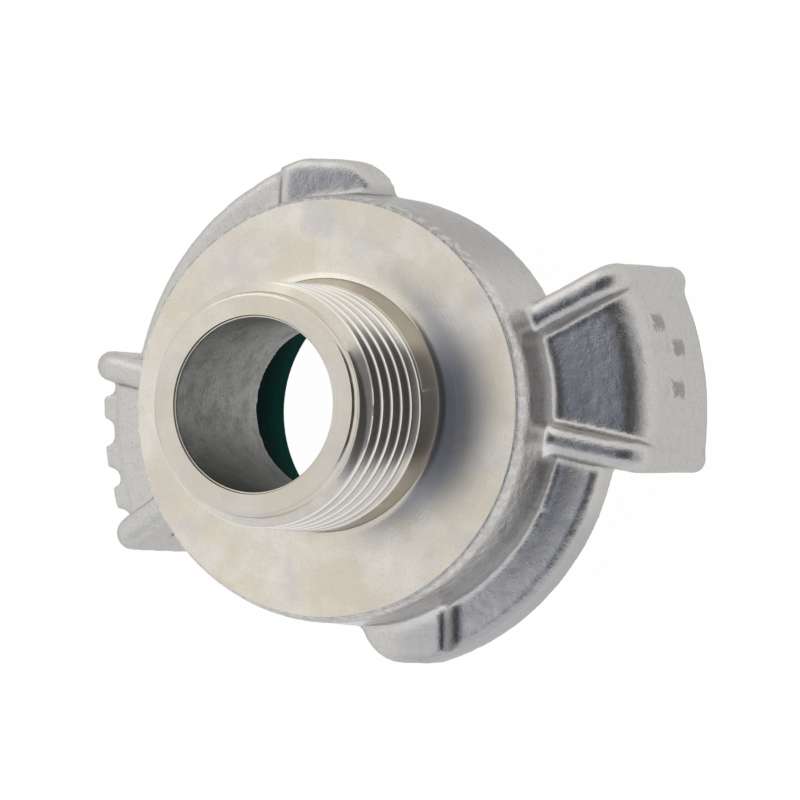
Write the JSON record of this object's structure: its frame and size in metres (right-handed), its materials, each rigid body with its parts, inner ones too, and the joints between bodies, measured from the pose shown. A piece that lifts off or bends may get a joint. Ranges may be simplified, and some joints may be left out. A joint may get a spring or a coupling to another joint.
{
  "type": "garden hose quick connector",
  "caption": "Cast two-claw hose coupling half with a male taper pipe thread on one side and a flared face seal between the claws on the other.",
  "frame": {"origin": "on the bore axis, in the plane of the claw ends that the part stands on", "axes": "+Z along the bore from the claws to the spigot, +X through the middle of a claw"},
  "size_m": [0.0535, 0.0457, 0.0371],
  "materials": {
    "cast_steel": "satin investment-cast stainless steel with machined faces",
    "seal": "smooth moulded dark green rubber"
  },
  "bodies": {
    "root": {"coupling_body": "cast_steel", "seal_ring": "seal"}
  },
  "joints": []
}
